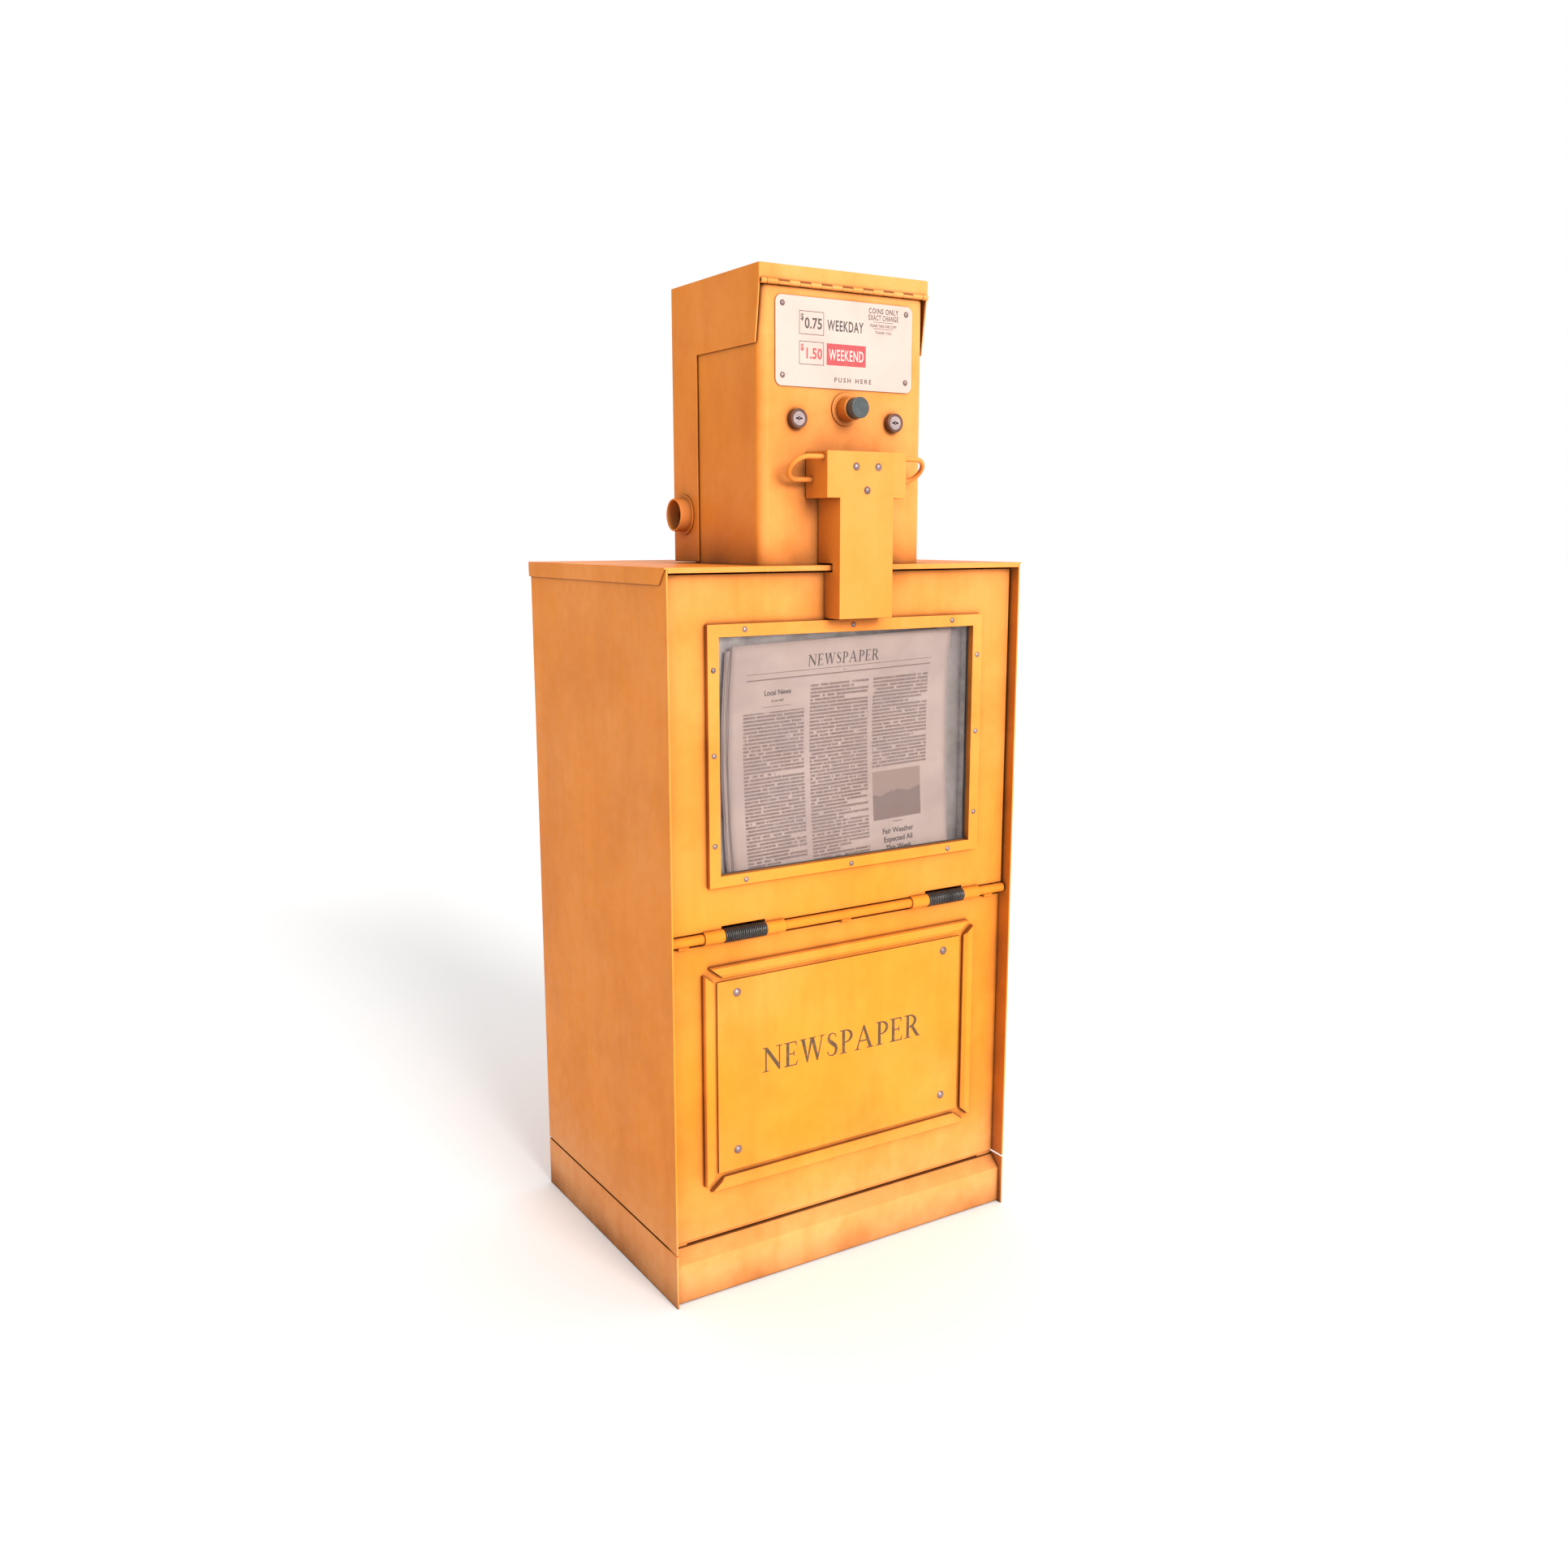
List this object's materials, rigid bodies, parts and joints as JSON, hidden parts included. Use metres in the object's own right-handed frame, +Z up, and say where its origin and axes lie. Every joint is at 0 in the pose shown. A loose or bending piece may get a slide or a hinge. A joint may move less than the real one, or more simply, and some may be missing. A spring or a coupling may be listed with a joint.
{
  "type": "newspaper vending box",
  "caption": "Coin operated newspaper box with a drop-down display door on a sprung rod and a coin housing with a lift-up hood on its lid.",
  "frame": {"origin": "on the floor, at the middle of the base's anchor hole pattern and of the cabinet's footprint", "axes": "+Z up, -Y out of the display door, +X to the right as seen from the front"},
  "size_m": [0.508, 0.4123, 1.2085],
  "materials": {
    "yellow_paint": "worn satin enamel over folded steel",
    "handle_paint": "satin enamel, a little lighter",
    "inner_steel": "zinc plated, dull",
    "rivet_steel": "plated heads, dulled",
    "rod_paint": "painted, rubbed bright on top",
    "spring_steel": "blackened spring wire",
    "rubber": "matt",
    "pane": "clear polycarbonate, hazed",
    "newsprint": "matt grey newsprint with black ink",
    "price_card": "printed white card plate",
    "lock_ring": "dark bronze",
    "lock_face": "dull plated",
    "plunger_black": "dark grey moulded"
  },
  "bodies": {
    "cabinet": {"base_skirt": "yellow_paint", "base_floor": "yellow_paint", "kick_plate": "yellow_paint", "cabinet_floor": "yellow_paint", "cabinet_bolts": "inner_steel", "side_panel_left": "yellow_paint", "side_panel_right": "yellow_paint", "back_panel": "yellow_paint", "door_jambs": "yellow_paint", "door_bumpers": "rubber", "lid": "yellow_paint", "lower_front_panel": "yellow_paint", "card_rails": "yellow_paint", "name_plate": "yellow_paint", "name_plate_screws": "rivet_steel", "hinge_rod": "rod_paint", "rod_brackets": "rod_paint", "door_springs": "spring_steel", "shelf_brackets": "yellow_paint", "newspaper_shelf": "yellow_paint", "housing_base_plate": "inner_steel", "coin_housing": "yellow_paint", "price_card": "price_card", "price_card_rivets": "rivet_steel", "hinge_leaf_lower": "yellow_paint", "hinge_pin": "inner_steel", "return_collar": "yellow_paint", "lock_bodies": "lock_ring", "mech_plate": "inner_steel", "coin_chutes": "inner_steel", "coin_rejector": "inner_steel", "cash_tray": "inner_steel", "pivot_brackets": "inner_steel", "pivot_pins": "inner_steel", "plunger_spring": "inner_steel"},
    "door": {"door_panel": "yellow_paint", "window_frame": "yellow_paint", "window_gasket": "rubber", "window_pane": "pane", "pane_retainer": "inner_steel", "window_screws": "rivet_steel", "door_knuckles": "rod_paint", "handle_cover": "handle_paint", "handle_rivets": "rivet_steel", "handle_loops": "handle_paint", "latch_keeper": "inner_steel", "display_holder": "inner_steel", "newspapers": "newsprint"},
    "hood": {"hood_shell": "yellow_paint", "hinge_leaf_upper": "yellow_paint", "hood_latch_bars": "inner_steel", "coin_return_cup": "yellow_paint", "coin_entry_plate": "inner_steel"},
    "left_lock": {"lock_plug_left": "lock_face", "lock_cam_left": "inner_steel"},
    "right_lock": {"lock_plug_right": "lock_face", "lock_cam_right": "inner_steel"},
    "plunger": {"return_plunger": "plunger_black"},
    "lever": {"return_lever": "inner_steel"},
    "latch": {"door_latch": "inner_steel"}
  },
  "joints": [
    {"name": "door_swing", "type": "hinge", "parent": "cabinet", "child": "door", "pos_m": [0, -0.1814, 0.4483], "axis": [1, 0, 0], "range_deg": [0, 80], "stiffness_Nm_per_rad": 9, "springref_deg": -20.05},
    {"name": "hood_lift", "type": "hinge", "parent": "cabinet", "child": "hood", "pos_m": [0, -0.1687, 1.1875], "axis": [1, 0, 0], "range_deg": [0, 105]},
    {"name": "left_lock_turn", "type": "hinge", "parent": "cabinet", "child": "left_lock", "pos_m": [-0.068, -0.1657, 1.0405], "axis": [0, 1, 0], "range_deg": [0, 90]},
    {"name": "right_lock_turn", "type": "hinge", "parent": "cabinet", "child": "right_lock", "pos_m": [0.068, -0.1657, 1.0405], "axis": [0, -1, 0], "range_deg": [0, 90]},
    {"name": "plunger_press", "type": "slide", "parent": "cabinet", "child": "plunger", "axis": [0, 1, 0], "range_m": [0, 0.008], "stiffness_N_per_m": 400, "springref_m": -0.01, "deforming": ["plunger_spring"]},
    {"name": "lever_turn", "type": "hinge", "parent": "cabinet", "child": "lever", "pos_m": [0, -0.1195, 1.085], "axis": [1, 0, 0], "range_deg": [0, 15]},
    {"name": "latch_drop", "type": "hinge", "parent": "cabinet", "child": "latch", "pos_m": [0, -0.1125, 0.99], "axis": [1, 0, 0], "range_deg": [0, 16], "stiffness_Nm_per_rad": 0.03, "springref_deg": -22.92}
  ],
  "couplings": [
    {"joint": "lever_turn", "follows": "plunger_press", "rad_per_m": 31.8}
  ]
}
